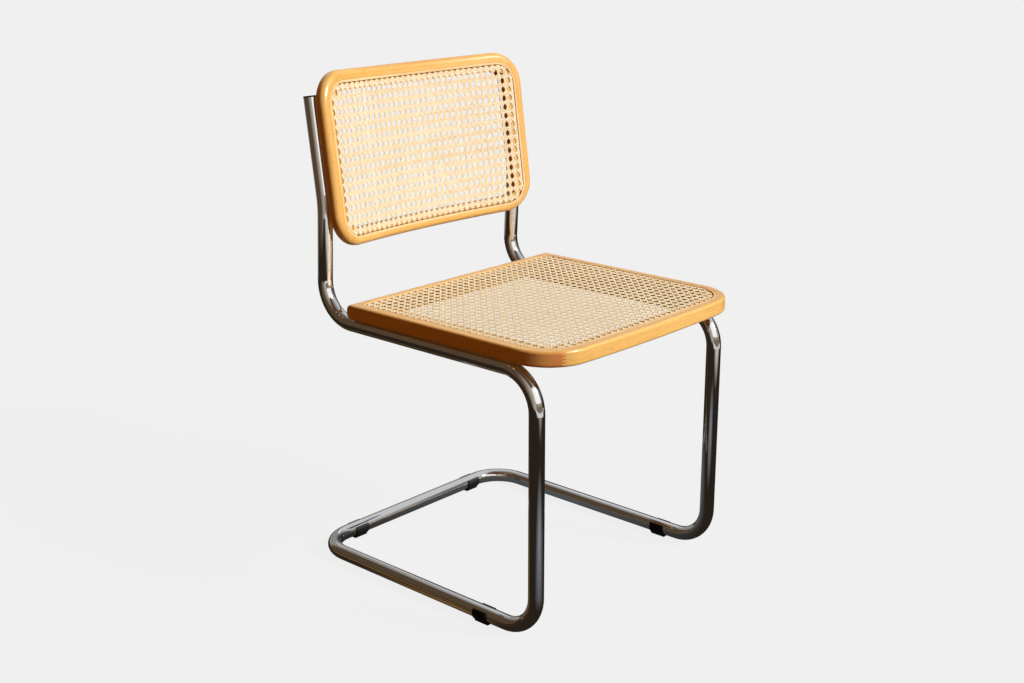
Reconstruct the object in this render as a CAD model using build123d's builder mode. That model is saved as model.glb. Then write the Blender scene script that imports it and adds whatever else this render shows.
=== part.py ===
"""Cantilever dining chair: one bent steel tube carries a caned seat frame and a caned, curved back.

Millimetres. +Z is up and the floor is Z = 0. The sitter faces -Y, and "left" is the -X side.
"""
import os
from math import cos, radians, sin, sqrt, tan

from build123d import *

os.makedirs("parts", exist_ok=True)

# Steel tube
tube_diameter = 24.0
tube_wall = 2.0
bend_radius = 60.0
kink_radius = 180.0
front_leg_y = -226.6
rear_cross_y = 259.3
upright_foot_y = 223.7
kink_y = 213.9
kink_rise = 145.3
tube_end_drop = 38.3
back_lean = 8.0

# Fits
clearance = 0.3
cut_margin = 5.0

# Caps in the two tube ends
cap_thickness = 2.0
cap_plug_length = 12.0
cap_edge_radius = 0.8

# Clip-on floor glides
glide_wall = 1.8
glide_sole = 2.2
glide_length = 27.0
glide_foot_width = 15.0
glide_wrap = 250.0
front_left_glide_gap = 31.1
front_right_glide_gap = 22.1
rear_left_glide_gap = 13.0
rear_right_glide_gap = 0.5

# Seat frame, a little wider at the rear, where its edge is rounded over
seat_width = 476.0
seat_taper = 3.0
seat_overhang = 17.0
seat_top = 458.7
seat_thickness = 24.5
seat_rear_y = 155.0
seat_front_y = -264.4
seat_bow = 9.0
seat_front_radius = 74.0
seat_rear_round = 10.0
seat_rear_margin = 4.0
seat_edge_radius = 4.5
seat_rail_width = 34.0
seat_groove_inset = 13.0
seat_inner_radius = 12.0

# Back frame
back_overhang = 8.5
back_bottom = -69.0
back_height = 275.0
back_thickness = 22.0
back_curve_radius = 854.0
back_corner_radius = 54.0
back_edge_radius = 9.0
back_rail_width = 32.0
back_groove_inset = 16.0

# Finger joints at the frame corners, whose seams slant in from the outer edge to the opening
finger_count = 5
finger_length = 11.0
seam_slant = 17.0
seat_seam_inset = 35.0
back_seam_inset = 33.5

# Cane, with its edge turned down into the groove behind a reed spline
cane_thickness = 1.2
cane_recess = 1.6
cane_tuck = 5.0
spline_width = 4.0
spline_height = 6.5
spline_crown = 1.2
groove_depth = 8.0
seat_net_columns = 17
seat_net_rows = 16
back_net_columns = 22
back_net_rows = 12
strand_width = 7.0

# Wood screws
screw_diameter = 4.6
screw_head_diameter = 9.5
screw_head_height = 2.8
screw_bite = 12.0
screw_point = 4.0
seat_screw_ys = (-130.0, 95.0)
back_screw_heights = (35.0, 135.0)

# Places that follow from the sizes above: the tubes run under the seat's sides and behind the back's
tube_radius = tube_diameter / 2
tube_x = seat_width / 2 - seat_overhang
back_width = 2 * (tube_x + back_overhang)
seat_seam_x = seat_width / 2 - seat_seam_inset
back_seam_x = back_width / 2 - back_seam_inset
floor_tube_z = glide_sole + clearance + tube_radius
seat_bottom = seat_top - seat_thickness
seat_tube_z = seat_bottom - clearance - tube_radius
kink_height = seat_top + kink_rise
tube_end_height = kink_height + back_bottom + back_height - tube_end_drop
tube_end_y = kink_y + (tube_end_height - kink_height) * tan(radians(back_lean))
groove_width = spline_width + cane_thickness + 3 * clearance
cane_inset = spline_width + 2 * clearance
screw_radius = screw_diameter / 2
screw_hole_radius = screw_radius + clearance
screw_access_radius = screw_head_diameter / 2 + clearance

# Frame of the back: its Z runs up the leaning tubes, its Y points backwards
lean_up = (0, sin(radians(back_lean)), cos(radians(back_lean)))
lean_front = (0, -cos(radians(back_lean)), sin(radians(back_lean)))
back_plan = Plane(origin=(0, kink_y, kink_height), x_dir=(1, 0, 0), z_dir=lean_up)
back_face = Plane(origin=(0, kink_y, kink_height), x_dir=(1, 0, 0), z_dir=lean_front)
back_rear_radius = back_curve_radius + back_thickness / 2
back_front_radius = back_curve_radius - back_thickness / 2
back_curve_y = -sqrt((back_rear_radius + clearance + tube_radius) ** 2 - tube_x**2)
back_seat_y = back_curve_y + sqrt(back_rear_radius**2 - tube_x**2)


def finish(builder, name):
    """Label a finished piece and write it to its own file."""
    builder.part.label = name
    export_step(builder.part, f"parts/{name}.step")


def seat_outline(height, inset):
    """Outline of the seat at a height, drawn in by an inset, with its front edge gently bowed."""
    rear_half = seat_width / 2 - inset
    front_half = rear_half - seat_taper
    rear = seat_rear_y
    if inset > 0:
        rear = seat_rear_y - seat_rear_margin - inset
    front = seat_front_y + inset
    with BuildSketch(Plane.XY.offset(height)) as outline:
        with BuildLine():
            ThreePointArc((-front_half, front), (0, front - seat_bow), (front_half, front))
            Polyline((front_half, front), (rear_half, rear), (-rear_half, rear), (-front_half, front))
        make_face()
        front_corners = outline.vertices().group_by(Axis.Y)[0]
        fillet(front_corners, radius=max(seat_front_radius - inset, seat_inner_radius))
        if inset > 0:
            fillet(outline.vertices().group_by(Axis.Y)[-1], radius=seat_inner_radius)
    return outline.sketch


def seat_slab(bottom, top, inset, mode=Mode.ADD):
    """Add or cut a slab of the seat's outline between two heights."""
    extrude(seat_outline(bottom, inset), amount=top - bottom, mode=mode)


def draw_back_outline(inset):
    """Draw the back's rounded outline, drawn in by an inset, in the active sketch."""
    with Locations((0, back_bottom + back_height / 2)):
        RectangleRounded(back_width - 2 * inset, back_height - 2 * inset, back_corner_radius - inset)


def back_outline(inset):
    """Face of the back's outline, seen square on, drawn in by an inset."""
    with BuildSketch(back_face) as outline:
        draw_back_outline(inset)
    return outline.sketch


def back_curve(front_radius, rear_radius):
    """Plan of the bent back between two radii, drawn at its lower edge."""
    with BuildSketch(back_plan.offset(back_bottom)) as plan:
        with Locations((0, back_curve_y)):
            Circle(rear_radius)
            Circle(front_radius, mode=Mode.SUBTRACT)
        with Locations((0, back_curve_y + front_radius)):
            Rectangle(back_width + cut_margin, back_width, mode=Mode.INTERSECT)
    return plan.sketch


def back_shell(front_radius, rear_radius, inset):
    """A curved shell of the back between two radii, trimmed to the outline at an inset."""
    with BuildPart() as shell:
        extrude(back_curve(front_radius, rear_radius), amount=back_height)
        extrude(back_outline(inset), amount=back_width, both=True, mode=Mode.INTERSECT)
    return shell.part


def fingered_span(seam, low, high):
    """Outline between two seams of wedge-shaped fingers, carried on past the joint both ways."""
    step = (high - low) / (2 * finger_count)
    rungs = range(-1, 2 * finger_count + 2)
    right = [(seam + (-1) ** i * finger_length / 2, low + i * step) for i in rungs]
    right.insert(0, (right[0][0], low - seam))
    right.append((right[-1][0], high + seam))
    left = [(-x, level) for x, level in reversed(right)]
    with BuildSketch(Plane.XY) as span:
        Polygon(*right, *left, align=None)
    return span.sketch


def fingered_block(outside, inside, seam, low, high):
    """The space of one rail between its two finger joints, from past its edge into its opening."""
    outer = outside * fingered_span(seam + seam_slant, low, high)
    inner = inside * fingered_span(seam - 2 * seam_slant, low, high)
    return loft([outer.face(), inner.face()], ruled=True, mode=Mode.PRIVATE)


def net_holes(width, height, columns, rows):
    """A grid of gaps in the active sketch that leaves strands of one width between them."""
    column_step = width / columns
    row_step = height / rows
    with GridLocations(column_step, row_step, columns, rows):
        Rectangle(column_step - strand_width, row_step - strand_width, mode=Mode.SUBTRACT)


# The frame: one tube, bent from one top end down, along the floor and up to the other
left_route = [
    (-tube_x, tube_end_y, tube_end_height),
    (-tube_x, kink_y, kink_height),
    (-tube_x, upright_foot_y, seat_tube_z),
    (-tube_x, front_leg_y, seat_tube_z),
    (-tube_x, front_leg_y, floor_tube_z),
    (-tube_x, rear_cross_y, floor_tube_z),
]
right_route = [(-x, y, z) for x, y, z in reversed(left_route)]
left_radii = [kink_radius] + [bend_radius] * 4
seat_screw_places = [(x, y) for x in (-tube_x, tube_x) for y in seat_screw_ys]
back_screw_places = [(x, z) for x in (-tube_x, tube_x) for z in back_screw_heights]

with BuildPart() as frame_tube:
    with BuildLine() as centreline:
        FilletPolyline(*left_route, *right_route, radius=left_radii + left_radii[::-1])
    with BuildSketch(Plane(origin=centreline.line @ 0, z_dir=centreline.line % 0)):
        Circle(tube_radius)
        Circle(tube_radius - tube_wall, mode=Mode.SUBTRACT)
    sweep(path=centreline.line)
    with BuildSketch(Plane.XY.offset(seat_tube_z)):
        with Locations(*seat_screw_places):
            Circle(screw_hole_radius)
    extrude(amount=tube_diameter, mode=Mode.SUBTRACT)
    with BuildSketch(Plane.XY.offset(seat_tube_z)):
        with Locations(*seat_screw_places):
            Circle(screw_access_radius)
    extrude(amount=-tube_diameter, mode=Mode.SUBTRACT)
    with BuildSketch(back_face):
        with Locations(*back_screw_places):
            Circle(screw_hole_radius)
    extrude(amount=tube_diameter, both=True, mode=Mode.SUBTRACT)
finish(frame_tube, "frame_tube")

# Plugs that close the two upper tube ends
for side, x in (("left", -tube_x), ("right", tube_x)):
    tube_mouth = Plane(origin=(x, tube_end_y, tube_end_height), x_dir=(1, 0, 0), z_dir=lean_up)
    with BuildPart() as tube_cap:
        with BuildSketch(tube_mouth):
            Circle(tube_radius)
        extrude(amount=cap_thickness)
        fillet(tube_cap.edges().sort_by(Axis((0, 0, 0), lean_up))[-1], radius=cap_edge_radius)
        with BuildSketch(tube_mouth):
            Circle(tube_radius - tube_wall - clearance)
        extrude(amount=-cap_plug_length)
    finish(tube_cap, f"{side}_tube_cap")


def glide(place):
    """A spring clip round the floor tube, open at the top, with a flat sole under it."""
    clip_radius = tube_radius + clearance
    mouth = radians((360 - glide_wrap) / 2)
    reach = 2 * tube_diameter
    with BuildPart() as clip:
        with BuildSketch(place):
            Circle(clip_radius + glide_wall)
            with Locations((0, -floor_tube_z)):
                Rectangle(glide_foot_width, floor_tube_z, align=(Align.CENTER, Align.MIN))
            with Locations((0, -floor_tube_z)):
                Rectangle(reach, reach, align=(Align.CENTER, Align.MIN), mode=Mode.INTERSECT)
            Circle(clip_radius, mode=Mode.SUBTRACT)
            with BuildLine():
                Polyline(
                    (0, 0), (reach * sin(mouth), reach * cos(mouth)),
                    (-reach * sin(mouth), reach * cos(mouth)), close=True,
                )
            make_face(mode=Mode.SUBTRACT)
        extrude(amount=glide_length / 2, both=True)
    return clip


runner_start = front_leg_y + bend_radius + glide_length / 2
for side, x, gap in (("left", -tube_x, front_left_glide_gap), ("right", tube_x, front_right_glide_gap)):
    y = runner_start + gap
    runner_place = Plane(origin=(x, y, floor_tube_z), x_dir=(1, 0, 0), z_dir=(0, -1, 0))
    finish(glide(runner_place), f"front_{side}_glide")
cross_end = tube_x - bend_radius - glide_length / 2
for side, out, gap in (("left", -1, rear_left_glide_gap), ("right", 1, rear_right_glide_gap)):
    x = out * (cross_end - gap)
    cross_place = Plane(origin=(x, rear_cross_y, floor_tube_z), x_dir=(0, 1, 0), z_dir=(1, 0, 0))
    finish(glide(cross_place), f"rear_{side}_glide")

# The seat frame as one ring, with its groove and the lower lip that the cane crosses
with BuildPart() as seat_groove:
    seat_slab(seat_top - groove_depth, seat_top, seat_groove_inset)
    seat_slab(seat_top - groove_depth, seat_top, seat_groove_inset + groove_width, Mode.SUBTRACT)
with BuildPart() as seat_ring:
    seat_slab(seat_bottom, seat_top, 0)
    fillet(seat_ring.edges().filter_by(Axis.X), radius=seat_rear_round)
    level_faces = seat_ring.faces().sort_by(Axis.Z)
    rims = level_faces[0].edges() + level_faces[-1].edges()
    fillet(rims - rims.filter_by(Axis.X), radius=seat_edge_radius)
    seat_slab(seat_bottom - cut_margin, seat_top + cut_margin, seat_rail_width, Mode.SUBTRACT)
    seat_slab(seat_top - cane_recess, seat_top + cut_margin, seat_groove_inset, Mode.SUBTRACT)
    add(seat_groove.part, mode=Mode.SUBTRACT)
    with BuildSketch(Plane.XY.offset(seat_bottom)):
        with Locations(*seat_screw_places):
            Circle(screw_hole_radius)
    extrude(amount=screw_bite + clearance, mode=Mode.SUBTRACT)

# Front and rear rails end in fingers that interlock with the side rails
seat_blocks = {}
for name, edge_y, into_seat in (("front", seat_front_y, 1), ("rear", seat_rear_y, -1)):
    inward = into_seat * seat_rail_width
    seat_blocks[name] = fingered_block(
        Plane((0, edge_y - inward, 0), x_dir=(1, 0, 0), z_dir=(0, -1, 0)),
        Plane((0, edge_y + 2 * inward, 0), x_dir=(1, 0, 0), z_dir=(0, -1, 0)),
        seat_seam_x, seat_bottom, seat_top,
    )
    with BuildPart() as seat_rail:
        add(seat_ring.part)
        add(seat_blocks[name], mode=Mode.INTERSECT)
    finish(seat_rail, f"seat_{name}_rail")
for name, side in (("left", Keep.BOTTOM), ("right", Keep.TOP)):
    with BuildPart() as seat_rail:
        add(seat_ring.part)
        split(bisect_by=Plane.YZ, keep=side)
        add(list(seat_blocks.values()), mode=Mode.SUBTRACT)
    finish(seat_rail, f"seat_{name}_rail")

# Seat cane: an open net on the lip, its edge turned down into the groove
lip_top = seat_top - cane_recess
seat_net_width = seat_width - 2 * (seat_rail_width + seat_taper)
seat_net_rear = seat_rear_y - seat_rear_margin - seat_rail_width
seat_net_front = seat_front_y + seat_rail_width
tuck_inset = seat_groove_inset + cane_inset
with BuildPart() as seat_cane:
    seat_slab(lip_top - cane_tuck, lip_top + cane_thickness, tuck_inset)
    seat_slab(lip_top - cane_tuck, lip_top + cane_thickness, tuck_inset + cane_thickness, Mode.SUBTRACT)
    with BuildSketch(Plane.XY.offset(lip_top)):
        add(seat_outline(0, tuck_inset + cane_thickness))
        with Locations((0, (seat_net_rear + seat_net_front) / 2)):
            net_holes(seat_net_width, seat_net_rear - seat_net_front, seat_net_columns, seat_net_rows)
    extrude(amount=cane_thickness, clean=False)
finish(seat_cane, "seat_cane")

# Reed pressed into the seat's groove over the cane's edge
with BuildPart() as seat_spline:
    seat_slab(seat_top - spline_height, seat_top, seat_groove_inset + clearance)
    fillet(seat_spline.edges().group_by(Axis.Z)[-1], radius=spline_crown)
    seat_slab(
        seat_top - spline_height, seat_top, seat_groove_inset + clearance + spline_width, Mode.SUBTRACT
    )
finish(seat_spline, "seat_spline")

# The back frame as one bent ring, with its groove and lip on the hollow front
lip_radius = back_front_radius + cane_recess
with BuildPart() as back_groove:
    add(back_shell(back_front_radius, back_front_radius + groove_depth, back_groove_inset))
    groove_inside = back_outline(back_groove_inset + groove_width)
    extrude(groove_inside, amount=back_width, both=True, mode=Mode.SUBTRACT)
with BuildPart() as back_ring:
    add(back_shell(back_front_radius, back_rear_radius, 0))
    through_edges = back_ring.edges().filter_by(Axis((0, 0, 0), lean_front))
    fillet(back_ring.edges() - through_edges, radius=back_edge_radius)
    extrude(back_outline(back_rail_width), amount=back_width, both=True, mode=Mode.SUBTRACT)
    add(back_shell(back_front_radius - cut_margin, lip_radius, back_groove_inset), mode=Mode.SUBTRACT)
    add(back_groove.part, mode=Mode.SUBTRACT)
    with BuildSketch(back_face):
        with Locations(*back_screw_places):
            Circle(screw_hole_radius)
    extrude(amount=screw_bite + clearance - back_seat_y, mode=Mode.SUBTRACT)

# Top and bottom rails end in fingers that interlock with the stiles
joint_front = back_curve_y + sqrt(back_front_radius**2 - back_seam_x**2)
joint_rear = back_curve_y + sqrt(back_rear_radius**2 - back_seam_x**2)
back_top = back_bottom + back_height
back_blocks = {}
for name, edge_z, into_back in (("top", back_top, -1), ("bottom", back_bottom, 1)):
    inward = into_back * back_rail_width
    back_blocks[name] = fingered_block(
        back_plan.offset(edge_z - inward), back_plan.offset(edge_z + 2 * inward),
        back_seam_x, joint_front, joint_rear,
    )
    with BuildPart() as back_rail:
        add(back_ring.part)
        add(back_blocks[name], mode=Mode.INTERSECT)
    finish(back_rail, f"back_{name}_rail")
for name, side in (("left", Keep.BOTTOM), ("right", Keep.TOP)):
    with BuildPart() as back_stile:
        add(back_ring.part)
        split(bisect_by=Plane.YZ, keep=side)
        add(list(back_blocks.values()), mode=Mode.SUBTRACT)
    finish(back_stile, f"back_{name}_stile")

# Back cane: the same kind of net, bent to the hollow of the back
cane_rear = lip_radius - clearance
back_tuck_inset = back_groove_inset + cane_inset
with BuildPart() as back_net:
    with BuildSketch(back_face.offset(-back_width / 2)):
        draw_back_outline(back_tuck_inset + cane_thickness)
        with Locations((0, back_bottom + back_height / 2)):
            net_holes(
                back_width - 2 * back_rail_width, back_height - 2 * back_rail_width,
                back_net_columns, back_net_rows,
            )
    extrude(amount=back_width)
    bent_sheet = back_curve(cane_rear - cane_thickness, cane_rear)
    extrude(bent_sheet, amount=back_height, mode=Mode.INTERSECT, clean=False)
with BuildPart() as back_cane:
    add(back_shell(cane_rear - cane_thickness, cane_rear + cane_tuck, back_tuck_inset))
    tuck_inside = back_outline(back_tuck_inset + cane_thickness)
    extrude(tuck_inside, amount=back_width, both=True, mode=Mode.SUBTRACT)
    add(back_net.part, clean=False)
finish(back_cane, "back_cane")

# Reed pressed into the back's groove
spline_inset = back_groove_inset + clearance
with BuildPart() as back_spline:
    add(back_shell(back_front_radius, back_front_radius + spline_height, spline_inset))
    spline_inside = back_outline(spline_inset + spline_width)
    extrude(spline_inside, amount=back_width, both=True, mode=Mode.SUBTRACT)
finish(back_spline, "back_spline")


def screw(length):
    """A round-headed wood screw pointing along +Z, with the underside of its head at Z = 0."""
    head_radius = screw_head_diameter / 2
    dome_radius = (head_radius**2 + screw_head_height**2) / (2 * screw_head_height)
    with BuildPart() as pin:
        with BuildSketch(Plane.XZ):
            with BuildLine():
                RadiusArc((0, -screw_head_height), (head_radius, 0), -dome_radius)
                Polyline(
                    (head_radius, 0), (screw_radius, 0), (screw_radius, length - screw_point),
                    (0, length), (0, -screw_head_height),
                )
            make_face()
        revolve(axis=Axis.Z)
    return pin.part


# Screws go up from inside the seat tubes into the side rails, and forward through the uprights
bore_radius = tube_radius - tube_wall
seat_head_z = seat_tube_z + sqrt(bore_radius**2 - (screw_head_diameter / 2) ** 2) - clearance
seat_screw = screw(seat_bottom + screw_bite - seat_head_z)
with BuildPart() as seat_screws:
    with Locations(*[(x, y, seat_head_z) for x, y in seat_screw_places]):
        add(seat_screw)
finish(seat_screws, "seat_screws")

back_head_y = tube_radius + clearance
back_screw = screw(back_head_y - back_seat_y + screw_bite)
back_screw_planes = [
    Plane(
        origin=back_plan.from_local_coords(Vector(x, back_head_y, z)),
        x_dir=(1, 0, 0), z_dir=lean_front,
    )
    for x, z in back_screw_places
]
with BuildPart() as back_screws:
    with Locations(*back_screw_planes):
        add(back_screw)
finish(back_screws, "back_screws")
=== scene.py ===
# %% [markdown]
# # A cantilever chair in bent tube, beech and woven cane
# The chair is one chromed steel tube, bent into a springy frame, with a beech seat and a beech back that
# hold panels of woven cane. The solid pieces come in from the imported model. This lesson gives them their
# finishes, weaves the cane strand by strand, slims one rail of the back and sets up a small photo studio.

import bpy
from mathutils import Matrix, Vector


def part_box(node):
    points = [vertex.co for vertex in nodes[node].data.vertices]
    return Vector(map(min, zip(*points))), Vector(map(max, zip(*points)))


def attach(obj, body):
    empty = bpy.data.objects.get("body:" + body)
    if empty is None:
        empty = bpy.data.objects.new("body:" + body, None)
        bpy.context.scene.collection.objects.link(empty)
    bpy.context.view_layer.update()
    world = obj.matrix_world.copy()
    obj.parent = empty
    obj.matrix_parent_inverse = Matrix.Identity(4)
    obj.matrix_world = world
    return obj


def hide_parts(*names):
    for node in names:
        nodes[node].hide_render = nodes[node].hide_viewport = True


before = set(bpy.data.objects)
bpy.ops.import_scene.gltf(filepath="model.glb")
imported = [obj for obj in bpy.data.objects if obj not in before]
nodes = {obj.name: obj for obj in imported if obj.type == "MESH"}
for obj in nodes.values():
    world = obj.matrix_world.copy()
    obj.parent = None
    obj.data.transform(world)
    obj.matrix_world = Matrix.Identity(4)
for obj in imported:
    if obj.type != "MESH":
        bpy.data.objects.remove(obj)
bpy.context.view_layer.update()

import math
import random
from functools import partial

import bmesh
import bpy
from mathutils import Matrix, Vector

scene = bpy.context.scene

# %% [markdown]
# The camera comes first, because every later choice is judged through it. Its place and lens were worked
# out from the straight edges of the chair in the photograph, so the chair falls on the same pixels. It
# stands about a metre up, in front of the chair and to its left.

# %% Camera
CAMERA_PLACE = (-1.69102, -1.49559, 1.06206)
CAMERA_DIP = 16.92
CAMERA_TURN = -48.15
CAMERA_LENS = 50.994

camera_data = bpy.data.cameras.new("camera")
camera_data.lens = CAMERA_LENS
camera = bpy.data.objects.new("camera", camera_data)
camera.location = CAMERA_PLACE
camera.rotation_euler = (math.radians(90 - CAMERA_DIP), 0, math.radians(CAMERA_TURN))
scene.collection.objects.link(camera)
scene.camera = camera
scene.view_settings.view_transform = "Standard"
print("camera lens:", camera_data.lens)

# %% [markdown]
# A finish in Blender is a small network of nodes. It could be clicked together in the editor, but a script
# can build the same network again for the next rail. These helpers keep each network short: the first adds
# a node and sets or links its inputs, and the others make the kinds of node that come up most.


# %% Helpers for nodes
def add_node(tree, kind, settings=None, **inputs):
    """Adds a node, sets its own settings, and sets or links its inputs by name or, as _0, by number."""
    made = tree.nodes.new("ShaderNode" + kind)
    for key, value in (settings or {}).items():
        setattr(made, key, value)
    for key, value in inputs.items():
        socket = made.inputs[int(key[1:])] if key[0] == "_" else made.inputs[key.replace("_", " ")]
        if isinstance(value, bpy.types.NodeSocket):
            tree.links.new(value, socket)
        else:
            socket.default_value = value
    return made


def maths(tree, operation, *values):
    """The result of one step of arithmetic on sockets and numbers."""
    inputs = {f"_{index}": value for index, value in enumerate(values)}
    return add_node(tree, "Math", {"operation": operation}, **inputs).outputs["Value"]


def between(tree, value, low, high, first=0.0, last=1.0):
    """A value that goes from first to last while another one goes from low to high."""
    return add_node(
        tree, "MapRange", Value=value, From_Min=low, From_Max=high, To_Min=first, To_Max=last
    ).outputs["Result"]


def mix_colours(tree, share, low, high, blend="MIX"):
    """Two colours mixed by a share."""
    settings = {"data_type": "RGBA", "blend_type": blend}
    return add_node(tree, "Mix", settings, _0=share, _6=low, _7=high).outputs[2]


def stretched_noise(tree, place, scale, detail, roughness=0.5):
    """Noise with a scale of its own along each axis."""
    spread = add_node(tree, "Mapping", Vector=place, Scale=scale).outputs["Vector"]
    return add_node(
        tree, "TexNoise", Vector=spread, Scale=1.0, Detail=detail, Roughness=roughness
    ).outputs["Fac"]


def colour_ramp(tree, factor, stops):
    """A colour ramp fed by a factor, with its stops given as place and colour."""
    ramp = add_node(tree, "ValToRGB", Fac=factor)
    elements = ramp.color_ramp.elements
    while len(elements) < len(stops):
        elements.new(0.5)
    for element, (place, colour) in zip(elements, stops):
        element.position = place
        element.color = (*colour, 1)
    return ramp.outputs["Color"]


print("helpers for nodes: ready")

# %% [markdown]
# A material starts with its shader ready and with the values that are the same all over the surface set on
# the shader itself. An effect that several materials share is a node group with named sockets. Each network
# ends in the same way: the shader gets a colour, a roughness, and a height that a bump node turns into fine
# relief.


# %% Helpers for materials
def start_material(name, **values):
    """A new material with an empty Principled shader, whose plain values are set by name."""
    material = bpy.data.materials.new(name)
    material.use_nodes = True
    shader = material.node_tree.nodes["Principled BSDF"]
    for key, value in values.items():
        shader.inputs[key.replace("_", " ")].default_value = value
    return material, material.node_tree, shader


def start_group(name, inputs, outputs):
    """A new shader node group with named sockets, and its input and output nodes."""
    group = bpy.data.node_groups.new(name, "ShaderNodeTree")
    for label, kind in inputs:
        group.interface.new_socket(label, in_out="INPUT", socket_type="NodeSocket" + kind)
    for label, kind in outputs:
        group.interface.new_socket(label, in_out="OUTPUT", socket_type="NodeSocket" + kind)
    return group, group.nodes.new("NodeGroupInput"), group.nodes.new("NodeGroupOutput")


def put_out(group, outside, **results):
    """Links a group's results to its outputs by name."""
    for key, socket in results.items():
        group.links.new(socket, outside.inputs[key])
    print(group.name, "group:", len(group.nodes), "nodes")


def feed_shader(tree, shader, colour, effect, relief, depth):
    """Feeds a shader a colour, and the roughness and the height that an effect's group puts out."""
    bump = add_node(tree, "Bump", Strength=relief, Distance=depth, Height=effect.outputs["Height"])
    tree.links.new(colour, shader.inputs["Base Color"])
    tree.links.new(effect.outputs["Roughness"], shader.inputs["Roughness"])
    tree.links.new(bump.outputs["Normal"], shader.inputs["Normal"])


def finish_with(node_names, material):
    """Gives CAD nodes a material by their slots."""
    for name in node_names:
        nodes[name].data.materials.clear()
        nodes[name].data.materials.append(material)
    print(material.name, "on", ", ".join(node_names))


print("helpers for materials: ready")

# %% [markdown]
# Beech is a pale, even wood. Its grain is fine and straight, and its mark is a scatter of short, darker
# flecks that all run with the grain. A picture of wood wrapped round a rail would smear on its edges and
# repeat, so one node group works out the grain at every point of the solid wood instead, along X. Where a
# rail shows its cut end, the wood drinks more lacquer and turns a deeper red brown.

# %% Beech grain
BAND_SCALE = (2.0, 34.0, 34.0)
GRAIN_SCALE = (22.0, 620.0, 620.0)
GRAIN_SHARE = 0.45
GRAIN_ROUGHNESS = 0.55
BEECH_TONES = [
    (0.45, (0.60, 0.300, 0.058)), (0.72, (0.72, 0.405, 0.095)), (0.95, (0.80, 0.480, 0.135)),
]
BEECH_GLOSS = (0.34, 0.46)
NOISE_MIDST = (0.3, 0.7)
FLECK_SCALE = (150.0, 1100.0, 1100.0)
FLECK_LIMITS = (0.60, 0.72)
FLECK_SHARE = 0.55
FLECK_COLOUR = (0.33, 0.135, 0.032, 1)
FLECK_HEIGHT = -0.8
END_LIMITS = (0.30, 0.85)
END_GRAIN_TINT = (0.84, 0.48, 0.36, 1)


def beech_group():
    """Grain, flecks, gloss and pores of beech whose grain runs along the vector's X."""
    group, inside, outside = start_group(
        "beech_grain",
        [("Vector", "Vector"), ("Facing", "Vector"), ("End", "Float")],
        [("Color", "Color"), ("Roughness", "Float"), ("Height", "Float")],
    )
    noise = partial(stretched_noise, group, inside.outputs["Vector"], roughness=GRAIN_ROUGHNESS)
    bands, fibres = noise(BAND_SCALE, detail=3.0), noise(GRAIN_SCALE, detail=3.0)
    wood = colour_ramp(group, maths(group, "MULTIPLY_ADD", fibres, GRAIN_SHARE, bands), BEECH_TONES)
    fleck_mask = between(group, noise(FLECK_SCALE, detail=1.0), *FLECK_LIMITS, last=FLECK_SHARE)
    flecked = mix_colours(group, fleck_mask, wood, FLECK_COLOUR)
    facing = add_node(group, "SeparateXYZ", Vector=inside.outputs["Facing"]).outputs["X"]
    end_mask = between(group, maths(group, "ABSOLUTE", facing), *END_LIMITS, last=inside.outputs["End"])
    put_out(
        group, outside,
        Color=mix_colours(group, end_mask, flecked, END_GRAIN_TINT, "MULTIPLY"),
        Roughness=between(group, fibres, *NOISE_MIDST, *BEECH_GLOSS),
        Height=maths(group, "MULTIPLY_ADD", fleck_mask, FLECK_HEIGHT, fibres),
    )
    return group


beech_grain = beech_group()

# %% [markdown]
# Each rail turns the coordinates so that its own grain follows its length, as a joiner would cut it. Only
# the side rails of the seat show their cut ends, as the fingers of the joints in its rounded front corners.
# The lacquer is a thin coat on the shader, and a little sheen softens the light on its edges.

# %% Beech rails
QUARTER = math.pi / 2
BACK_LEAN = math.radians(8)
BEECH_RELIEF, BEECH_DEPTH = 0.12, 0.0004


def beech(name, turn, end=0.0):
    """Lacquered beech whose grain is turned to run along a rail, with its end grain darkened by a share."""
    material, tree, shader = start_material(
        name, Coat_Weight=0.35, Coat_Roughness=0.20, IOR=1.45, Sheen_Weight=0.20, Sheen_Roughness=0.5
    )
    spot = add_node(tree, "TexCoord").outputs
    turned = add_node(tree, "Mapping", Vector=spot["Object"], Rotation=turn).outputs["Vector"]
    facing = add_node(
        tree, "Mapping", {"vector_type": "VECTOR"}, Vector=spot["Normal"], Rotation=turn
    ).outputs["Vector"]
    grain = add_node(tree, "Group", {"node_tree": beech_grain}, Vector=turned, Facing=facing, End=end)
    feed_shader(tree, shader, grain.outputs["Color"], grain, BEECH_RELIEF, BEECH_DEPTH)
    return material


finish_with(
    ["seat_front_rail", "seat_rear_rail", "back_top_rail", "back_bottom_rail"],
    beech("beech_across", (0, 0, 0)),
)
finish_with(
    ["seat_left_rail", "seat_right_rail"], beech("beech_front_to_back", (0, 0, -QUARTER), end=1.0)
)
finish_with(["back_left_stile", "back_right_stile"], beech("beech_upright", (BACK_LEAN, QUARTER, 0)))

# %% [markdown]
# Plated tube, moulded plastic and zinc screws look new, but none of them is perfectly even: fine rub marks
# change how sharply they shine. One roughness for each would look like a drawing, so a small group makes
# that unevenness, and each of the three finishes uses it with its own limits.

# %% Rub marks
RUB_DETAIL, RUB_ROUGHNESS = 5.0, 0.65
RUB_LIMITS = (0.35, 0.70)
RUB_STOPS = (0.35, 0.75)
RUB_DEPTH = 0.0002


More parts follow.
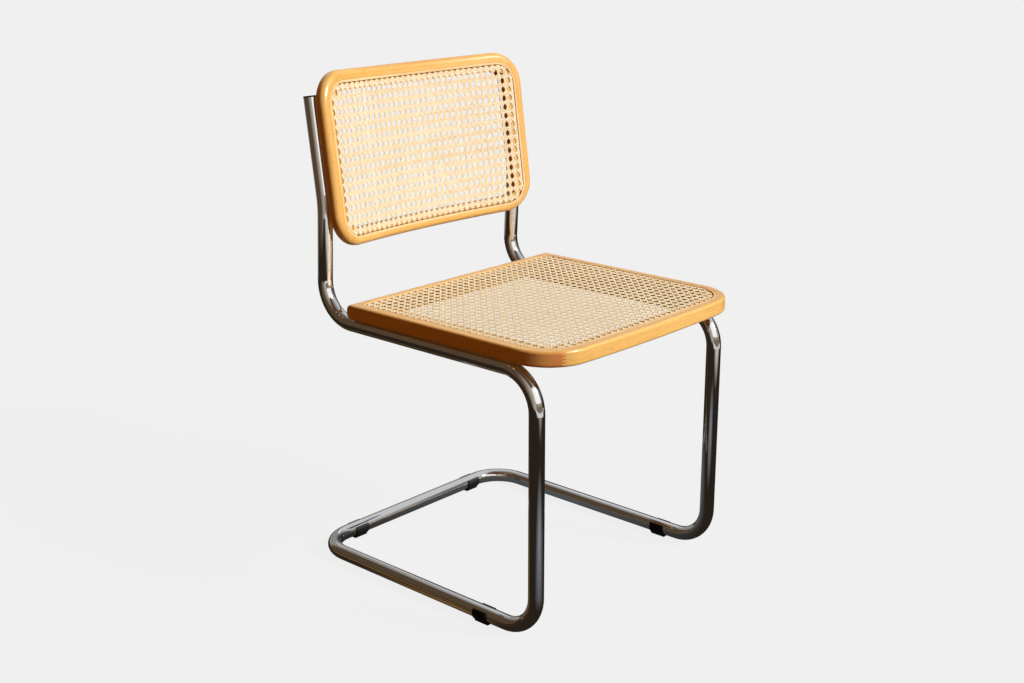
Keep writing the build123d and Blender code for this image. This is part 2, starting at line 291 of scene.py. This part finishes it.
def rub_group():
    """Uneven gloss from handling, between two roughness values, and the marks as a height and a mask."""
    group, inside, outside = start_group(
        "rub_marks",
        [("Vector", "Vector"), ("Scale", "Float"), ("Smooth", "Float"), ("Worn", "Float")],
        [("Roughness", "Float"), ("Height", "Float"), ("Mask", "Float")],
    )
    marks = add_node(
        group, "TexNoise", Vector=inside.outputs["Vector"], Scale=inside.outputs["Scale"],
        Detail=RUB_DETAIL, Roughness=RUB_ROUGHNESS,
    ).outputs["Fac"]
    gloss = between(group, marks, *RUB_LIMITS, inside.outputs["Smooth"], inside.outputs["Worn"])
    put_out(group, outside, Roughness=gloss, Height=marks, Mask=marks)
    return group


rub_marks = rub_group()


def rubbed(name, light, dark, scale, smooth, worn, relief, **values):
    """A hard finish with rub marks: two near colours, two roughness values and a little relief."""
    material, tree, shader = start_material(name, **values)
    place = add_node(tree, "TexCoord").outputs["Object"]
    marks = add_node(
        tree, "Group", {"node_tree": rub_marks}, Vector=place, Scale=scale, Smooth=smooth, Worn=worn
    )
    colour = colour_ramp(tree, marks.outputs["Mask"], list(zip(RUB_STOPS, (light, dark))))
    feed_shader(tree, shader, colour, marks, relief, RUB_DEPTH)
    return material


# %% [markdown]
# The tube's chrome is a mirror with hardly any colour of its own. The plugs in its ends and the clips that
# it stands on are dull black plastic, and the screws are zinc plated, greyer and duller than the chrome.
# Each could have a network of its own, but they differ only in numbers, so one function makes all three.

# %% Chrome, plastic and zinc
chrome = rubbed(
    "chrome_plate", light=(0.92, 0.92, 0.93), dark=(0.85, 0.84, 0.83), scale=45.0, smooth=0.045, worn=0.09,
    relief=0.02, Metallic=1.0,
)
black_plastic = rubbed(
    "black_plastic", light=(0.005, 0.005, 0.006), dark=(0.012, 0.012, 0.012), scale=420.0, smooth=0.42,
    worn=0.58, relief=0.25, Specular_IOR_Level=0.22,
)
screw_zinc = rubbed(
    "zinc_screw", light=(0.62, 0.62, 0.60), dark=(0.40, 0.39, 0.37), scale=900.0, smooth=0.22, worn=0.4,
    relief=0.1, Metallic=1.0,
)
finish_with(["frame_tube"], chrome)
finish_with(["left_tube_cap", "right_tube_cap"], black_plastic)
finish_with(
    ["front_left_glide", "front_right_glide", "rear_left_glide", "rear_right_glide"], black_plastic
)
finish_with(["seat_screws", "back_screws"], screw_zinc)

# %% [markdown]
# Cane is the outer bark of a climbing palm, split into long flat strands. It has a soft gloss, is straw
# coloured, and has fine lines along its length. Each strand is painted darker towards its edges: painted
# shade where strands touch, together with its split edges, which are darker than its bark. The lines have
# to follow each strand through the weave, which its place in space can't tell. So every strand carries its
# own attribute: how far along it a point lies, how far across, and a tone that differs from strand to
# strand.

# %% Plant fibre
LINE_SCALE, DRIFT_SCALE = (60.0, 3.0, 37.0), (9.0, 0.3, 11.0)
LINE_SHARE, TONE_SHARE = 0.5, 0.35
FIBRE_LIMITS = (0.65, 1.25)
FIBRE_GLOSS = (0.46, 0.62)
FIBRE_RELIEF, FIBRE_DEPTH = 0.15, 0.0002
EDGE_SHADE_LIMITS = (0.50, 1.0)
SPLIT_EDGE_AND_SHADE = (0.44, 0.27, 0.13, 1)


def fibre_group():
    """Lengthwise lines and slow colour drift on a plant fibre, from a vector of along, across and tone."""
    group, inside, outside = start_group(
        "plant_fibre",
        [("Vector", "Vector"), ("Tone", "Float"), ("Pale", "Color"), ("Deep", "Color")],
        [("Color", "Color"), ("Roughness", "Float"), ("Height", "Float")],
    )
    spot = inside.outputs["Vector"]
    lines = stretched_noise(group, spot, LINE_SCALE, detail=3.0)
    drift = stretched_noise(group, spot, DRIFT_SCALE, detail=2.0)
    shade = maths(group, "MULTIPLY_ADD", lines, LINE_SHARE, drift)
    toned = maths(group, "MULTIPLY_ADD", inside.outputs["Tone"], TONE_SHARE, shade)
    mask = between(group, toned, *FIBRE_LIMITS)
    colour = mix_colours(group, mask, inside.outputs["Pale"], inside.outputs["Deep"])
    # Painted shade: each strand darkens towards its edges, where strands touch, with its split edges a
    # little darker too.
    aside = add_node(group, "SeparateXYZ", Vector=spot).outputs["Y"]
    edge = between(group, maths(group, "ABSOLUTE", aside), *EDGE_SHADE_LIMITS)
    put_out(
        group, outside,
        Color=mix_colours(group, edge, colour, SPLIT_EDGE_AND_SHADE, "MULTIPLY"),
        Roughness=between(group, lines, *NOISE_MIDST, *FIBRE_GLOSS),
        Height=lines,
    )
    return group


plant_fibre = fibre_group()


def fibre_material(name, vector_from, tone_from, pale, deep):
    """A material of plant fibre, fed by a function that makes its vector and one that makes its tone."""
    material, tree, shader = start_material(name, IOR=1.45, Specular_IOR_Level=0.25)
    fibre = add_node(
        tree, "Group", {"node_tree": plant_fibre}, Vector=vector_from(tree), Tone=tone_from(tree),
        Pale=(*pale, 1), Deep=(*deep, 1),
    )
    feed_shader(tree, shader, fibre.outputs["Color"], fibre, FIBRE_RELIEF, FIBRE_DEPTH)
    return material


# %% [markdown]
# The seat's cane and the back's are one cane in two tones, with light painted in: the seat's is painted
# paler, as painted sheen on its top seen from low down, and the back's deeper, against the strong light
# full on it. The reed that holds both sheets in their grooves is the core of the same plant, so it shares
# the group with deeper colours. It is one plain ring, so its place in space will do for its lines.

# %% Cane and reed
STRAND = "strand"
REED_DRIFT = 14.0


def strand_vector(tree):
    """Along, across and tone of a strand, from its own attribute."""
    return add_node(tree, "Attribute", {"attribute_name": STRAND}).outputs["Vector"]


def strand_tone(tree):
    """The tone alone."""
    return add_node(tree, "SeparateXYZ", Vector=strand_vector(tree)).outputs["Z"]


def reed_vector(tree):
    """Reed takes its lines from where it lies."""
    return add_node(tree, "TexCoord").outputs["Object"]


def reed_tone(tree):
    """Reed's tone drifts slowly along the groove."""
    return add_node(tree, "TexNoise", Vector=reed_vector(tree), Scale=REED_DRIFT, Detail=2.0).outputs["Fac"]


# Painted light: the seat's cane is painted paler for sheen, and the back's deeper for the full light on it.
seat_cane = fibre_material("seat_cane", strand_vector, strand_tone, (1.00, 0.95, 0.70), (0.86, 0.76, 0.50))
back_cane = fibre_material("back_cane", strand_vector, strand_tone, (0.90, 0.80, 0.58), (0.72, 0.58, 0.36))
reed = fibre_material("reed_spline", reed_vector, reed_tone, (0.80, 0.56, 0.29), (0.66, 0.42, 0.18))
finish_with(["seat_spline", "back_spline"], reed)

# %% [markdown]
# Caning has six sets of strands. Pairs run front to back and side to side, woven over and under each
# other, and single strands cross them on both diagonals, over one pair and under the next. What is left
# open are eight-sided holes. A picture of this on a flat sheet looks dead from close by, so each strand
# is a real piece. It starts as a four-sided rod. Cuts along the rod give it rings, and the rings are moved
# onto the strand's path, which rises and falls by the rule of the weave.

# %% One strand
STRAND_THICKNESS = 0.00045
TUCK_BEND = 0.0006
TUCK_DEPTH = 0.0042
FEWEST_STATIONS = 4
HALVINGS = 10
ROD_RADIUS = math.sqrt(2)
ROD_LENGTH = 1.0
SQUARE_ON = Matrix.Rotation(math.pi / 4, 4, "Z")


def lay_strand(bm, layer, path, width, place, tone):
    """One flat strand laid along a path of sheet points, and put in place by the panel's own function."""
    before = len(bm.verts)
    rod = bmesh.ops.create_cone(
        bm, cap_ends=True, segments=4, radius1=ROD_RADIUS, radius2=ROD_RADIUS, depth=ROD_LENGTH,
        matrix=SQUARE_ON,
    )["verts"]
    half = ROD_LENGTH / 2
    lengths = {e for v in rod for e in v.link_edges if abs(e.verts[0].co.z - e.verts[1].co.z) > half}
    bmesh.ops.subdivide_edges(bm, edges=list(lengths), cuts=len(path) - 2)
    bm.verts.ensure_lookup_table()
    along = (path[-2] - path[1]).normalized()
    side = Vector((-along.y, along.x, 0))
    ends = [path[0]] + path + [path[-1]]
    for vert in bm.verts[before:]:
        ring = round((vert.co.z + half) / ROD_LENGTH * (len(path) - 1))
        tangent = (ends[ring + 2] - ends[ring]).normalized()
        up = tangent.cross(side)
        across, rise = vert.co.x, vert.co.y
        point = path[ring] + side * across * width / 2 + up * rise * STRAND_THICKNESS / 2
        vert[layer] = (path[ring].dot(along), across, tone)
        vert.co = place(point)


def clip_path(station, reach, inside):
    """The stations of a line that lie inside an outline, with both ends turned down behind the spline."""
    kept = [i for i in range(-reach, reach + 1) if inside(station(i))]
    if len(kept) < FEWEST_STATIONS:
        return None
    path = [station(i) for i in kept]
    for end, step in ((kept[0], -1), (kept[-1], 1)):
        near, far = 0.0, 1.0
        for _ in range(HALVINGS):
            middle = (near + far) / 2
            near, far = (middle, far) if inside(station(end + step * middle)) else (near, middle)
        edge = station(end + step * near)
        edge.z = 0
        tip = edge - Vector((0, 0, TUCK_DEPTH))
        bend = edge - Vector((0, 0, TUCK_BEND))
        path = [tip, bend] + path if step < 0 else path + [bend, tip]
    return path


print("one strand:", STRAND_THICKNESS, "m thick, tucked", TUCK_DEPTH, "m into the groove")

# %% [markdown]
# A finished mesh becomes an object that stays at the origin, with its place in the mesh itself, as the
# imported pieces have theirs. A piece of the chair also rides on a body, hides the imported piece that it
# stands in for, and has its material.


# %% Helpers for pieces
def add_object(bm, name, material):
    """An object at the origin, from a finished bmesh and one material."""
    mesh = bpy.data.meshes.new(name)
    bm.to_mesh(mesh)
    bm.free()
    mesh.materials.append(material)
    made = bpy.data.objects.new(name, mesh)
    scene.collection.objects.link(made)
    return made


def add_piece(bm, name, material, node):
    """A piece of the chair that stands in for a packed one."""
    piece = add_object(bm, name, material)
    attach(piece, "root")
    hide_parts(node)
    print(piece.name, len(piece.data.polygons), "faces")


print("helpers for pieces: ready")

# %% [markdown]
# The weave is a rule, so it fits in a few lines. A cell is one hole of the cane, from pair to pair. A
# strand of a pair goes over the first strand that it meets and under the second. A diagonal is highest
# where it crosses the pairs that run one way and lowest where it crosses the others.

# %% The weave of one panel
RINGS_PER_CELL = 8
PAIR_GAP = 0.00006
PAIR_RISE = 0.00024
DIAGONAL_RISE = 0.00046


def pair_rise(ring, first):
    """Height of a paired strand at a ring: over one strand and under its neighbour at each crossing."""
    phase = ring % RINGS_PER_CELL
    if phase not in (1, RINGS_PER_CELL - 1):
        return 0.0
    return PAIR_RISE if (phase == 1) != first else -PAIR_RISE


def weave_panel(name, material, cell, widths, centre, counts, inside, place, node):
    """Weaves a caned panel from three pieces: lengthwise pairs, crosswise pairs and diagonals."""
    dice = random.Random(name)
    step = Vector((cell[0] / RINGS_PER_CELL, cell[1] / RINGS_PER_CELL))
    reach = [n * RINGS_PER_CELL for n in counts]
    aside = (widths[0] + PAIR_GAP) / 2
    families = {"lengthwise": [], "crosswise": [], "diagonal": []}

    def lengthwise(i, x, first):
        """A point of a strand that runs front to back."""
        return Vector((x, centre[1] + i * step.y, pair_rise(i, first)))

    def crosswise(i, y, first):
        """A point of a strand that runs side to side."""
        return Vector((centre[0] + i * step.x, y, pair_rise(i, not first)))

    def diagonal(i, y, slope):
        """A point of a strand that runs across the cells, corner to corner."""
        rise = slope * DIAGONAL_RISE * math.cos(2 * math.pi * i / RINGS_PER_CELL)
        return Vector((centre[0] + i * step.x, y + slope * i * step.y, rise))

    for column in range(-counts[0], counts[0] + 1):
        for first, shift in ((True, -aside), (False, aside)):
            station = partial(lengthwise, x=centre[0] + column * cell[0] + shift, first=first)
            families["lengthwise"].append((clip_path(station, reach[1], inside), widths[0]))
    for row in range(-counts[1], counts[1] + 1):
        for first, shift in ((True, -aside), (False, aside)):
            station = partial(crosswise, y=centre[1] + row * cell[1] + shift, first=first)
            families["crosswise"].append((clip_path(station, reach[0], inside), widths[0]))
    lines = counts[0] + counts[1] + 1
    for slope in (1, -1):
        for line in range(-lines, lines + 1):
            station = partial(diagonal, y=centre[1] + (line + 0.5) * cell[1], slope=slope)
            families["diagonal"].append((clip_path(station, reach[0], inside), widths[1]))
    for family, strands in families.items():
        bm = bmesh.new()
        layer = bm.verts.layers.float_vector.new(STRAND)
        for path, width in strands:
            if path:
                lay_strand(bm, layer, path, width, place, dice.random())
        bmesh.ops.recalc_face_normals(bm, faces=bm.faces)
        add_piece(bm, f"{name}_{family}", material, node)


print("weave: pairs rise", PAIR_RISE, "m and diagonals", DIAGONAL_RISE, "m")

# %% [markdown]
# The seat's panel lies flat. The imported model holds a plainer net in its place, so the outline comes from
# that net's box: the cane reaches to the groove, half its own thickness short of the groove's wall. The
# outline is a rounded rectangle that narrows to a bowed front, and strands are cut where they leave it.

# %% Seat cane
SEAT_CELL = (0.01330, 0.01300)
SEAT_WIDTHS = (0.0027, 0.0019)
SEAT_COUNTS = (18, 17)
SEAT_HOLE_ROW = -0.2480
SEAT_ROWS_TO_MIDDLE = 15.5
SEAT_FRONT_RADIUS = 0.0558
SEAT_REAR_RADIUS = 0.0114
SEAT_BOW = 0.0090
SEAT_TAPER = 0.0030
SHEET_HALF = 0.0006
SHEET_SINK = 0.0004

low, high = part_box("seat_cane")
seat_half = high.x - SHEET_HALF
seat_front = low.y + SEAT_BOW + SHEET_HALF
seat_rear = high.y - SHEET_HALF
seat_depth = seat_rear - seat_front
seat_middle = (seat_front + seat_rear) / 2
seat_sheet_z = high.z - SHEET_SINK
seat_weave = (0.0, SEAT_HOLE_ROW + SEAT_ROWS_TO_MIDDLE * SEAT_CELL[1])


def rounded(x, y, half, depth, radius):
    """Signed distance to a rounded rectangle about the origin, less than 0 inside it."""
    out = Vector((abs(x) - half + radius, abs(y) - depth + radius))
    return min(max(out), 0) + Vector((max(out.x, 0), max(out.y, 0))).length - radius


def inside_seat(point):
    """True inside the seat's caned outline, which narrows to a bowed front edge."""
    y = point.y - seat_middle
    front = y < 0
    half = seat_half - SEAT_TAPER * (seat_rear - point.y) / seat_depth
    bow = SEAT_BOW * (1 - (point.x / half) ** 2) if front else 0
    radius = SEAT_FRONT_RADIUS if front else SEAT_REAR_RADIUS
    return rounded(point.x, y + bow, half, seat_depth / 2, radius) < 0


def place_seat(point):
    """Lifts a point of the flat weave to the seat."""
    return point.x, point.y, seat_sheet_z + point.z


weave_panel(
    "seat_cane_weave", seat_cane, SEAT_CELL, SEAT_WIDTHS, seat_weave, SEAT_COUNTS, inside_seat, place_seat,
    "seat_cane",
)

# %% [markdown]
# The back's panel is the same weave with taller cells, bent to the hollow of the back. It is woven on a
# flat sheet first. Then each point goes onto a cylinder that leans back with the uprights: its sideways
# place becomes an angle, and its height in the weave becomes a step towards the sitter. A bend modifier
# could do that too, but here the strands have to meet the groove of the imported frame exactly.

# %% Back cane
SLIM_DROP = 0.0055
BACK_CELL = (0.01242, 0.01500)
BACK_WIDTHS = (0.0026, 0.0017)
BACK_COUNTS = (18, 9)
BACK_WEAVE_SHIFT = (-0.0037, 0.00815)
BACK_ORIGIN = Vector((0, 0.2139, 0.604))
BACK_AXIS_Y = -0.84898
BACK_SHEET_RADIUS = 0.8436
BACK_HALF = 0.2089 - SHEET_HALF
BACK_LOW = -0.0484 - SLIM_DROP + SHEET_HALF
BACK_HIGH = 0.1854 - SHEET_HALF
BACK_RADIUS = 0.0328

back_middle = (BACK_LOW + BACK_HIGH) / 2
back_arc = BACK_SHEET_RADIUS * math.asin(BACK_HALF / BACK_SHEET_RADIUS)
back_weave = (BACK_WEAVE_SHIFT[0], back_middle + BACK_WEAVE_SHIFT[1])
lean_up = Vector((0, math.sin(BACK_LEAN), math.cos(BACK_LEAN)))
lean_rear = Vector((0, math.cos(BACK_LEAN), -math.sin(BACK_LEAN)))


def inside_back(point):
    """True inside the back's caned outline."""
    return rounded(point.x, point.y - back_middle, back_arc, (BACK_HIGH - BACK_LOW) / 2, BACK_RADIUS) < 0


def place_back(point):
    """Bends a point of the flat weave onto the leaning, hollow back."""
    turn = point.x / BACK_SHEET_RADIUS
    radius = BACK_SHEET_RADIUS - point.z
    rear = BACK_AXIS_Y + radius * math.cos(turn)
    return BACK_ORIGIN + Vector((radius * math.sin(turn), 0, 0)) + lean_rear * rear + lean_up * point.y


weave_panel(
    "back_cane_weave", back_cane, BACK_CELL, BACK_WIDTHS, back_weave, BACK_COUNTS, inside_back, place_back,
    "back_cane",
)

# %% [markdown]
# The back's bottom rail shows less of its face than the top rail does, because its groove and its lip lie
# lower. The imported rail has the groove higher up. A new rail would need its joints cut again, so the rail,
# the two stiles and the spline each get a copy in which the groove is drawn down. The pull is full at the
# groove and the lip, nothing at the frame's outer edge, and fades out up the stiles, where it only
# stretches the wood along its own length. The cane's outline already reaches down with it.

# %% A slimmer bottom rail
FRAME_HALF, FRAME_DEPTH, FRAME_RADIUS, FRAME_MIDDLE = 0.2295, 0.1375, 0.0540, 0.0685
SLIM_FROM, SLIM_FULL = 0.0070, 0.0155
SLIM_FADE, SLIM_END = -0.0360, 0.0300
MERGE_WITHIN = 1e-6
SHARP = math.radians(35)


def drawn_down(place):
    """A point of the back's frame, moved down with the groove of the bottom rail."""
    up = (place - BACK_ORIGIN).dot(lean_up)
    inset = -rounded(place.x, up - FRAME_MIDDLE, FRAME_HALF, FRAME_DEPTH, FRAME_RADIUS)
    rise = min(max((inset - SLIM_FROM) / (SLIM_FULL - SLIM_FROM), 0), 1)
    fade = min(max((SLIM_END - up) / (SLIM_END - SLIM_FADE), 0), 1)
    return place - lean_up * SLIM_DROP * rise * fade


def slimmed_copy(node):
    """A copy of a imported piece, merged and drawn down, that stands in its place."""
    bm = bmesh.new()
    bm.from_mesh(nodes[node].data)
    bmesh.ops.remove_doubles(bm, verts=bm.verts, dist=MERGE_WITHIN)
    for vert in bm.verts:
        vert.co = drawn_down(vert.co)
    for edge in bm.edges:
        edge.smooth = edge.calc_face_angle(0.0) < SHARP
    for face in bm.faces:
        face.smooth = True
    add_piece(bm, node + "_slim", nodes[node].data.materials[0], node)


for node in ("back_bottom_rail", "back_left_stile", "back_right_stile"):
    slimmed_copy(node)
slimmed_copy("back_spline")

# %% [markdown]
# The studio is a pale floor that runs past the picture on every side. A curved paper sweep would do the
# same, but then a low view would show its bend. To the camera, and in reflections, the floor glows a
# little, so that it keeps one even tone, and the rest of its tone is real light, so that the chair's shadow
# still falls on it. Light that bounces off it is warmer and weaker.

# %% Floor
FLOOR_REACH = 40.0
FLOOR_DROP = 0.0006
FLOOR_GLOW = 0.840
FLOOR_TONE = (0.029, 0.030, 0.031)
FLOOR_BOUNCE = (0.100, 0.035, 0.006)


def seen_rays(tree):
    """One where a ray comes from the camera, a reflection or glass, and zero for light that bounces."""
    path = add_node(tree, "LightPath").outputs
    mirror = maths(tree, "MAXIMUM", path["Is Camera Ray"], path["Is Glossy Ray"])
    return maths(tree, "MAXIMUM", mirror, path["Is Transmission Ray"])


def start_stage(name):
    """A new material for a studio piece, without a shader, and the socket of its surface."""
    material, tree, shader = start_material(name)
    tree.nodes.remove(shader)
    return material, tree, tree.nodes["Material Output"].inputs["Surface"]


def stage_plane(name, size, place, material, seen=True):
    """A flat studio piece, made as a one-cell grid and moved into place."""
    bm = bmesh.new()
    bmesh.ops.create_grid(bm, x_segments=1, y_segments=1, size=1)
    spread = Matrix.Diagonal((size[0] / 2, size[1] / 2, 1, 1))
    bmesh.ops.transform(bm, matrix=place @ spread, verts=bm.verts)
    plane = add_object(bm, name, material)
    if not seen:
        plane.visible_camera = False
        plane.visible_diffuse = False
        plane.visible_shadow = False
        plane.visible_transmission = False
    print(plane.name, "seen by the camera" if seen else "seen in reflections")


material, tree, surface = start_stage("studio_floor")
bounce = add_node(tree, "BsdfDiffuse", Color=(*FLOOR_BOUNCE, 1))
tone = add_node(tree, "BsdfDiffuse", Color=(*FLOOR_TONE, 1))
glow = add_node(tree, "Emission", Color=(1, 1, 1, 1), Strength=FLOOR_GLOW)
shown = add_node(tree, "AddShader", _0=tone.outputs[0], _1=glow.outputs[0])
mixed = add_node(tree, "MixShader", _0=seen_rays(tree), _1=bounce.outputs[0], _2=shown.outputs[0])
tree.links.new(mixed.outputs[0], surface)
stage_plane("floor", (FLOOR_REACH, FLOOR_REACH), Matrix.Translation((0, 0, -FLOOR_DROP)), material)

# %% [markdown]
# A sun with a wide disc gives the key light from the right and front, a weaker one from behind lifts the
# rear, and a low, warm sky fills the shaded side. Area lamps would fall off across the chair. Suns don't,
# so every view gets the same plain light.

# %% Sky and suns
KEY_STRENGTH = 4.75
KEY_FROM = Vector((0.30, -0.82, 0.55))
KEY_DISC = 14
RIM_STRENGTH = 0.80
RIM_FROM = Vector((0.55, 0.72, 0.42))
RIM_DISC = 30
FILL_STRENGTH = 0.20
FILL_COLOUR = (1.0, 0.40, 0.02)
BACKGROUND = 0.863

world = bpy.data.worlds.new("studio")
scene.world = world
world.use_nodes = True
tree = world.node_tree
shown = tree.nodes["Background"]
shown.inputs["Color"].default_value = (BACKGROUND, BACKGROUND, BACKGROUND, 1)
fill = add_node(tree, "Background", Color=(*FILL_COLOUR, 1), Strength=FILL_STRENGTH)
mixed = add_node(tree, "MixShader", _0=seen_rays(tree), _1=fill.outputs[0], _2=shown.outputs[0])
tree.links.new(mixed.outputs[0], tree.nodes["World Output"].inputs["Surface"])


def add_sun(name, strength, source, disc, mirrored):
    """A sun lamp whose light comes from a direction, with or without a glint of its own in the chrome."""
    sun = bpy.data.lights.new(name, "SUN")
    sun.energy = strength
    sun.angle = math.radians(disc)
    lamp = bpy.data.objects.new(name, sun)
    lamp.rotation_mode = "QUATERNION"
    lamp.rotation_quaternion = source.to_track_quat("Z", "Y")
    lamp.visible_glossy = mirrored
    scene.collection.objects.link(lamp)
    print(name, "light from", tuple(source))


add_sun("key", KEY_STRENGTH, KEY_FROM, KEY_DISC, True)
add_sun("rim", RIM_STRENGTH, RIM_FROM, RIM_DISC, False)

# %% [markdown]
# Chrome shows little of itself and much of the room. In an all-white studio it looks like paint, so the
# tube gets a room to mirror: a wide window in front, grey and brown walls, three warm lamps on the left,
# and a dark board floor with golden glints. The room is seen only in reflections. It casts no shadow and
# takes no light from the wood and the cane.

# %% A room for the chrome to mirror
ROOM_REACH = 2.2
ROOM_HEIGHT = 2.4
WINDOW_SIZE, WINDOW_SPAN = (3.3, 1.50), (-2.2, 1.1)
WINDOW_ASIDE, WINDOW_HEIGHT, WINDOW_AHEAD = -0.55, 1.42, 0.05
STRIP_SIZE, STRIP_SPAN = (2.6, 0.50), (1.2, 1.75)
STRIP_TURN, STRIP_HEIGHT = 140, 1.48
LAMP_ROW = ((-1.55, 0.35), (-1.40, 0.80), (-1.25, 1.25))
LAMP_SIZE = (0.30, 0.16)
LAMP_DROP = 0.2
CREAM, BROWN, DARK_BROWN = (0.42, 0.370, 0.300), (0.19, 0.150, 0.115), (0.085, 0.055, 0.032)
BLACK_BROWN, GOLD = (0.022, 0.015, 0.010), (0.42, 0.230, 0.070)
GREY, PALE_GREY, WINDOW = (0.27, 0.260, 0.245), (0.58, 0.595, 0.620), (1.00, 0.985, 0.970)
SLATE, LAMP = (0.12, 0.125, 0.135), (1.00, 0.640, 0.200)


def room_card(name, size, place, axis, span, stops):
    """A card of the room whose glow changes along one axis of the room, between two places."""
    material, tree, surface = start_stage(name)
    spot = add_node(tree, "SeparateXYZ", Vector=add_node(tree, "TexCoord").outputs["Object"]).outputs
    colour = colour_ramp(tree, between(tree, spot[axis], *span), stops)
    tree.links.new(add_node(tree, "Emission", Color=colour, Strength=1.0).outputs[0], surface)
    stage_plane(name, size, place, material, seen=False)


def wall(turn, height, aside=0.0, reach=ROOM_REACH):
    """The place of an upright card that faces the chair, turned about it and moved aside."""
    stand = Matrix.Translation((aside, -reach, height)) @ Matrix.Rotation(QUARTER, 4, "X")
    return Matrix.Rotation(math.radians(turn), 4, "Z") @ stand


across_room, up_room = (-ROOM_REACH, ROOM_REACH), (0.0, ROOM_HEIGHT)
wall_size, room_size = (2 * ROOM_REACH, ROOM_HEIGHT), (2 * ROOM_REACH, 2 * ROOM_REACH)
middle = ROOM_HEIGHT / 2
window_place = wall(0, WINDOW_HEIGHT, WINDOW_ASIDE, ROOM_REACH - WINDOW_AHEAD)
room_card("front_wall", wall_size, wall(0, middle), "Z", up_room,
          [(0.0, BROWN), (0.15, BROWN), (0.30, CREAM), (0.90, CREAM)])
room_card("window", WINDOW_SIZE, window_place, "X", WINDOW_SPAN,
          [(0.0, CREAM), (0.12, WINDOW), (0.90, WINDOW), (1.0, PALE_GREY)])
room_card("left_wall", wall_size, wall(270, middle), "Y", across_room,
          [(0.0, CREAM), (0.25, CREAM), (0.45, BROWN), (0.60, DARK_BROWN)])
room_card("rear_wall", wall_size, wall(180, middle), "X", across_room,
          [(0.34, DARK_BROWN), (0.46, GREY), (1.0, GREY)])
room_card("rear_strip", STRIP_SIZE, wall(STRIP_TURN, STRIP_HEIGHT), "Z", STRIP_SPAN,
          [(0.0, GREY), (0.25, PALE_GREY), (0.50, WINDOW), (0.75, PALE_GREY), (1.0, GREY)])
room_card("right_wall", wall_size, wall(90, middle), "Z", up_room,
          [(0.12, BLACK_BROWN), (0.40, SLATE), (0.62, GREY), (0.82, PALE_GREY)])
room_card("ceiling", room_size, Matrix.Translation((0, 0, ROOM_HEIGHT)), "X", across_room,
          [(0.30, DARK_BROWN), (0.50, GREY), (0.80, PALE_GREY)])
for x, y in LAMP_ROW:
    hung = Matrix.Translation((x, y, ROOM_HEIGHT - LAMP_DROP))
    room_card("lamp", LAMP_SIZE, hung, "X", across_room, [(0.0, LAMP), (1.0, LAMP)])

# %% [markdown]
# The room's floor is made of boards that run front to back. Most of it is nearly black. Beside the chair a
# few glossy boards throw back gold, and daylight lies on the floor in front, faint and cool close to the
# chair and warm and bright further off. One card with a changing colour is enough for all of it.

# %% The room's floor
BOARD_SCALE = (48.0, 1.6, 1.0)
GLINT_LIMITS = (0.46, 0.64)
GOLD_LEFT, GOLD_RIGHT, GOLD_FRONT = (-0.33, -0.29), (-0.22, -0.26), (-0.16, -0.06)
COOL_PATCHES = ((Vector((-0.26, -0.62, 0.0)), 1.0), (Vector((0.12, 0.10, 0.0)), 0.35))
COOL_LIMITS = (0.34, 0.06)
COOL = (0.20, 0.225, 0.250)
DAYLIGHT_LIMITS = (-1.10, -1.45)
DAYLIGHT_SHARE = 0.65

material, tree, surface = start_stage("room_floor")
place = add_node(tree, "TexCoord").outputs["Object"]
spot = add_node(tree, "SeparateXYZ", Vector=place).outputs
gold = between(tree, stretched_noise(tree, place, BOARD_SCALE, detail=3.0), *GLINT_LIMITS)
for axis, limits in (("X", GOLD_LEFT), ("X", GOLD_RIGHT), ("Y", GOLD_FRONT)):
    gold = maths(tree, "MULTIPLY", gold, between(tree, spot[axis], *limits))
colour = mix_colours(tree, gold, (*BLACK_BROWN, 1), (*GOLD, 1))
for patch, top in COOL_PATCHES:
    near = add_node(tree, "VectorMath", {"operation": "DISTANCE"}, _0=place, _1=patch).outputs["Value"]
    colour = mix_colours(tree, between(tree, near, *COOL_LIMITS, last=top), colour, (*COOL, 1))
daylight = between(tree, spot["Y"], *DAYLIGHT_LIMITS, last=DAYLIGHT_SHARE)
colour = mix_colours(tree, daylight, colour, (*WINDOW, 1))
tree.links.new(add_node(tree, "Emission", Color=colour, Strength=1.0).outputs[0], surface)
stage_plane("room_floor", room_size, Matrix.Identity(4), material, seen=False)
